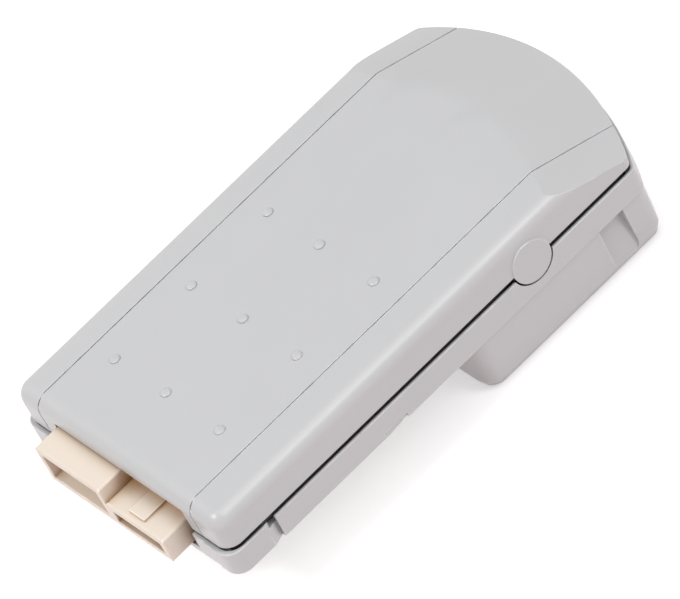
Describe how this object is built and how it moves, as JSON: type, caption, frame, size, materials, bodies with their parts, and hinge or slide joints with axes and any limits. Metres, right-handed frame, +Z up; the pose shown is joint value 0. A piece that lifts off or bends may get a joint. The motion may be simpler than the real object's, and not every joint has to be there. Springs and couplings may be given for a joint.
{
  "type": "vibration pack",
  "caption": "Vibration pack for a game controller: flat two-part case with a crowned top, a motor housing below, an off-centre weight spun inside and a plug at one end",
  "frame": {"origin": "under the middle of the whole part, on the surface that the motor housing rests on", "axes": "X across the case, Y along it from the connector end to the rounded end, Z up through the crowned top"},
  "size_m": [0.047, 0.09, 0.0237],
  "materials": {
    "shell_plastic": "fine moulded texture",
    "connector_plastic": "smooth moulded",
    "contact_metal": "plated",
    "board": "lacquered laminate",
    "chip_body": "moulded epoxy",
    "tinned_metal": "tinned",
    "ceramic": "fired ceramic",
    "capacitor_metal": "drawn",
    "motor_steel": "zinc plated",
    "cap_plastic": "moulded",
    "bush_metal": "sintered",
    "shaft_steel": "ground",
    "weight_metal": "sintered",
    "wire_red": "insulation",
    "wire_black": "insulation"
  },
  "bodies": {
    "case": {"upper_shell": "shell_plastic", "lower_shell": "shell_plastic", "connector_housing": "connector_plastic", "socket_contacts": "contact_metal", "slot_contacts": "contact_metal", "circuit_board": "board", "controller_chip": "chip_body", "controller_leads": "tinned_metal", "driver_transistor": "chip_body", "flyback_diode": "chip_body", "resonator": "ceramic", "electrolytic_capacitor": "capacitor_metal", "chip_resistors": "chip_body", "chip_capacitors": "ceramic", "motor_can": "motor_steel", "motor_end_cap": "cap_plastic", "motor_terminals": "contact_metal", "motor_bush": "bush_metal", "motor_lead_red": "wire_red", "motor_lead_black": "wire_black"},
    "rotor": {"motor_shaft": "shaft_steel", "eccentric_weight": "weight_metal"}
  },
  "joints": [
    {"name": "weight_spin", "type": "hinge", "parent": "case", "child": "rotor", "pos_m": [0, 0.0251, 0.0103], "axis": [1, 0, 0], "continuous": true}
  ]
}
